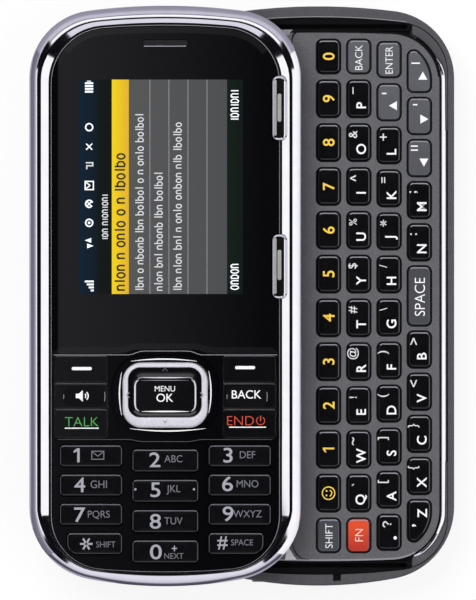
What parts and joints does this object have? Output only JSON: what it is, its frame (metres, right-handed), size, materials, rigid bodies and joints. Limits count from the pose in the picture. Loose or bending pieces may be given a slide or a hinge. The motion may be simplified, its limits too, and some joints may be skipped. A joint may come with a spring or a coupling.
{
  "type": "sliding phone",
  "caption": "Messaging phone whose display half slides sideways over a full letter keyboard, with number pad, navigation ring and chrome rim.",
  "frame": {"origin": "centre of the bounding box at its lowest face, with the phone open and lying on its back", "axes": "+Z out of the screen, +Y towards the earpiece end, +X towards the letter keyboard"},
  "size_m": [0.0812, 0.111, 0.0175],
  "materials": {
    "housing_grey": "fine speckle",
    "cover_grey": "fine speckle",
    "battery_can": "printed sleeve, bare",
    "deck_grey": "fine speckle",
    "chrome_trim": "chrome-plated plastic",
    "rail_black": "smooth, slippery",
    "carriage_steel": "pressed sheet",
    "circuit_board": "solder mask",
    "switch_film": "thin film over metal domes",
    "speaker_body": "moulded",
    "camera_body": "moulded",
    "camera_glass": "clear",
    "port_steel": "pressed shell",
    "jack_plastic": "moulded",
    "screw_steel": "machined",
    "spring_steel": "drawn wire",
    "cable_film": "flexible film",
    "side_key_black": "satin",
    "qwerty_black": "glossy, white legends",
    "qwerty_grey": "satin, white legends",
    "qwerty_orange": "satin, white legend",
    "back_plate_black": "satin",
    "front_black": "glossy",
    "window_clear": "polished, dark border",
    "display_glass": "lit display",
    "grille_metal": "fine mesh",
    "front_key_black": "glossy, lit legends",
    "nav_chrome": "chrome-plated plastic",
    "screen_key_chrome": "chrome-plated plastic"
  },
  "bodies": {
    "keyboard_half": {"rear_housing": "housing_grey", "keyboard_deck": "deck_grey", "side_trim": "chrome_trim", "slide_rails": "rail_black", "main_board": "circuit_board", "qwerty_switch_sheet": "switch_film", "battery": "battery_can", "loudspeaker": "speaker_body", "camera_module": "camera_body", "camera_window": "camera_glass", "charging_port": "port_steel", "headset_jack": "jack_plastic", "housing_screws": "screw_steel", "assist_spring": "spring_steel", "flex_cable": "cable_film"},
    "display_half": {"front_housing": "front_black", "chrome_band": "chrome_trim", "display_window": "window_clear", "display_panel": "display_glass", "back_plate": "back_plate_black", "slide_carriage": "carriage_steel", "keypad_board": "circuit_board", "keypad_switch_sheet": "switch_film", "earpiece": "speaker_body", "earpiece_grille": "grille_metal"},
    "battery_cover": {"battery_cover": "cover_grey"},
    "volume_key": {"volume_key": "side_key_black"},
    "camera_key": {"camera_key": "side_key_black"},
    "number_row_keys": {"number_row_keys": "qwerty_black"},
    "q_row_keys": {"q_row_keys": "qwerty_black"},
    "a_row_keys": {"a_row_keys": "qwerty_black"},
    "z_row_keys": {"z_row_keys": "qwerty_black"},
    "shift_key": {"shift_key": "qwerty_grey"},
    "fn_key": {"fn_key": "qwerty_orange"},
    "delete_key": {"delete_key": "qwerty_grey"},
    "enter_key": {"enter_key": "qwerty_grey"},
    "space_key": {"space_key": "qwerty_grey"},
    "arrow_keys": {"arrow_keys": "qwerty_grey"},
    "nav_ring": {"nav_ring": "nav_chrome"},
    "ok_key": {"ok_key": "nav_chrome"},
    "soft_key_left": {"soft_key_left": "front_key_black"},
    "speaker_key": {"speaker_key": "front_key_black"},
    "talk_key": {"talk_key": "front_key_black"},
    "soft_key_right": {"soft_key_right": "front_key_black"},
    "clear_key": {"clear_key": "front_key_black"},
    "end_key": {"end_key": "front_key_black"},
    "key_1": {"key_1": "front_key_black"},
    "key_2": {"key_2": "front_key_black"},
    "key_3": {"key_3": "front_key_black"},
    "key_4": {"key_4": "front_key_black"},
    "key_5": {"key_5": "front_key_black"},
    "key_6": {"key_6": "front_key_black"},
    "key_7": {"key_7": "front_key_black"},
    "key_8": {"key_8": "front_key_black"},
    "key_9": {"key_9": "front_key_black"},
    "key_star": {"key_star": "front_key_black"},
    "key_0": {"key_0": "front_key_black"},
    "key_hash": {"key_hash": "front_key_black"},
    "screen_key_upper": {"screen_key_upper": "screen_key_chrome"},
    "screen_key_lower": {"screen_key_lower": "screen_key_chrome"}
  },
  "joints": [
    {"name": "display_slide", "type": "slide", "parent": "keyboard_half", "child": "display_half", "axis": [1, 0, 0], "range_m": [0, 0.0293]},
    {"name": "battery_cover_slide", "type": "slide", "parent": "keyboard_half", "child": "battery_cover", "axis": [0, -1, 0], "range_m": [0, 0.003]},
    {"name": "volume_key_press", "type": "slide", "parent": "keyboard_half", "child": "volume_key", "axis": [1, 0, 0], "range_m": [0, 0.0003], "stiffness_N_per_m": 100, "springref_m": -0.0004},
    {"name": "camera_key_press", "type": "slide", "parent": "keyboard_half", "child": "camera_key", "axis": [1, 0, 0], "range_m": [0, 0.0003], "stiffness_N_per_m": 100, "springref_m": -0.0004},
    {"name": "number_row_keys_press", "type": "slide", "parent": "keyboard_half", "child": "number_row_keys", "axis": [0, 0, -1], "range_m": [0, 0.0003], "stiffness_N_per_m": 100, "springref_m": -0.0004},
    {"name": "q_row_keys_press", "type": "slide", "parent": "keyboard_half", "child": "q_row_keys", "axis": [0, 0, -1], "range_m": [0, 0.0003], "stiffness_N_per_m": 100, "springref_m": -0.0004},
    {"name": "a_row_keys_press", "type": "slide", "parent": "keyboard_half", "child": "a_row_keys", "axis": [0, 0, -1], "range_m": [0, 0.0003], "stiffness_N_per_m": 100, "springref_m": -0.0004},
    {"name": "z_row_keys_press", "type": "slide", "parent": "keyboard_half", "child": "z_row_keys", "axis": [0, 0, -1], "range_m": [0, 0.0003], "stiffness_N_per_m": 100, "springref_m": -0.0004},
    {"name": "shift_key_press", "type": "slide", "parent": "keyboard_half", "child": "shift_key", "axis": [0, 0, -1], "range_m": [0, 0.0003], "stiffness_N_per_m": 100, "springref_m": -0.0004},
    {"name": "fn_key_press", "type": "slide", "parent": "keyboard_half", "child": "fn_key", "axis": [0, 0, -1], "range_m": [0, 0.0003], "stiffness_N_per_m": 100, "springref_m": -0.0004},
    {"name": "delete_key_press", "type": "slide", "parent": "keyboard_half", "child": "delete_key", "axis": [0, 0, -1], "range_m": [0, 0.0003], "stiffness_N_per_m": 100, "springref_m": -0.0004},
    {"name": "enter_key_press", "type": "slide", "parent": "keyboard_half", "child": "enter_key", "axis": [0, 0, -1], "range_m": [0, 0.0003], "stiffness_N_per_m": 100, "springref_m": -0.0004},
    {"name": "space_key_press", "type": "slide", "parent": "keyboard_half", "child": "space_key", "axis": [0, 0, -1], "range_m": [0, 0.0003], "stiffness_N_per_m": 100, "springref_m": -0.0004},
    {"name": "arrow_keys_press", "type": "slide", "parent": "keyboard_half", "child": "arrow_keys", "axis": [0, 0, -1], "range_m": [0, 0.0003], "stiffness_N_per_m": 100, "springref_m": -0.0004},
    {"name": "nav_ring_tilt", "type": "hinge", "parent": "display_half", "child": "nav_ring", "pos_m": [-0.01465, -0.01885, 0.01505], "axis": [1, 0, 0], "range_deg": [-1.5, 1.5], "stiffness_Nm_per_rad": 0.004},
    {"name": "ok_key_press", "type": "slide", "parent": "display_half", "child": "ok_key", "axis": [0, 0, -1], "range_m": [0, 0.0003], "stiffness_N_per_m": 100, "springref_m": -0.0004},
    {"name": "soft_key_left_press", "type": "slide", "parent": "display_half", "child": "soft_key_left", "axis": [0, 0, -1], "range_m": [0, 0.0003], "stiffness_N_per_m": 100, "springref_m": -0.0004},
    {"name": "speaker_key_press", "type": "slide", "parent": "display_half", "child": "speaker_key", "axis": [0, 0, -1], "range_m": [0, 0.0003], "stiffness_N_per_m": 100, "springref_m": -0.0004},
    {"name": "talk_key_press", "type": "slide", "parent": "display_half", "child": "talk_key", "axis": [0, 0, -1], "range_m": [0, 0.0003], "stiffness_N_per_m": 100, "springref_m": -0.0004},
    {"name": "soft_key_right_press", "type": "slide", "parent": "display_half", "child": "soft_key_right", "axis": [0, 0, -1], "range_m": [0, 0.0003], "stiffness_N_per_m": 100, "springref_m": -0.0004},
    {"name": "clear_key_press", "type": "slide", "parent": "display_half", "child": "clear_key", "axis": [0, 0, -1], "range_m": [0, 0.0003], "stiffness_N_per_m": 100, "springref_m": -0.0004},
    {"name": "end_key_press", "type": "slide", "parent": "display_half", "child": "end_key", "axis": [0, 0, -1], "range_m": [0, 0.0003], "stiffness_N_per_m": 100, "springref_m": -0.0004},
    {"name": "key_1_press", "type": "slide", "parent": "display_half", "child": "key_1", "axis": [0, 0, -1], "range_m": [0, 0.0003], "stiffness_N_per_m": 100, "springref_m": -0.0004},
    {"name": "key_2_press", "type": "slide", "parent": "display_half", "child": "key_2", "axis": [0, 0, -1], "range_m": [0, 0.0003], "stiffness_N_per_m": 100, "springref_m": -0.0004},
    {"name": "key_3_press", "type": "slide", "parent": "display_half", "child": "key_3", "axis": [0, 0, -1], "range_m": [0, 0.0003], "stiffness_N_per_m": 100, "springref_m": -0.0004},
    {"name": "key_4_press", "type": "slide", "parent": "display_half", "child": "key_4", "axis": [0, 0, -1], "range_m": [0, 0.0003], "stiffness_N_per_m": 100, "springref_m": -0.0004},
    {"name": "key_5_press", "type": "slide", "parent": "display_half", "child": "key_5", "axis": [0, 0, -1], "range_m": [0, 0.0003], "stiffness_N_per_m": 100, "springref_m": -0.0004},
    {"name": "key_6_press", "type": "slide", "parent": "display_half", "child": "key_6", "axis": [0, 0, -1], "range_m": [0, 0.0003], "stiffness_N_per_m": 100, "springref_m": -0.0004},
    {"name": "key_7_press", "type": "slide", "parent": "display_half", "child": "key_7", "axis": [0, 0, -1], "range_m": [0, 0.0003], "stiffness_N_per_m": 100, "springref_m": -0.0004},
    {"name": "key_8_press", "type": "slide", "parent": "display_half", "child": "key_8", "axis": [0, 0, -1], "range_m": [0, 0.0003], "stiffness_N_per_m": 100, "springref_m": -0.0004},
    {"name": "key_9_press", "type": "slide", "parent": "display_half", "child": "key_9", "axis": [0, 0, -1], "range_m": [0, 0.0003], "stiffness_N_per_m": 100, "springref_m": -0.0004},
    {"name": "key_star_press", "type": "slide", "parent": "display_half", "child": "key_star", "axis": [0, 0, -1], "range_m": [0, 0.0003], "stiffness_N_per_m": 100, "springref_m": -0.0004},
    {"name": "key_0_press", "type": "slide", "parent": "display_half", "child": "key_0", "axis": [0, 0, -1], "range_m": [0, 0.0003], "stiffness_N_per_m": 100, "springref_m": -0.0004},
    {"name": "key_hash_press", "type": "slide", "parent": "display_half", "child": "key_hash", "axis": [0, 0, -1], "range_m": [0, 0.0003], "stiffness_N_per_m": 100, "springref_m": -0.0004},
    {"name": "screen_key_upper_press", "type": "slide", "parent": "display_half", "child": "screen_key_upper", "axis": [0, 0, -1], "range_m": [0, 0.0003], "stiffness_N_per_m": 100, "springref_m": -0.0004},
    {"name": "screen_key_lower_press", "type": "slide", "parent": "display_half", "child": "screen_key_lower", "axis": [0, 0, -1], "range_m": [0, 0.0003], "stiffness_N_per_m": 100, "springref_m": -0.0004}
  ]
}
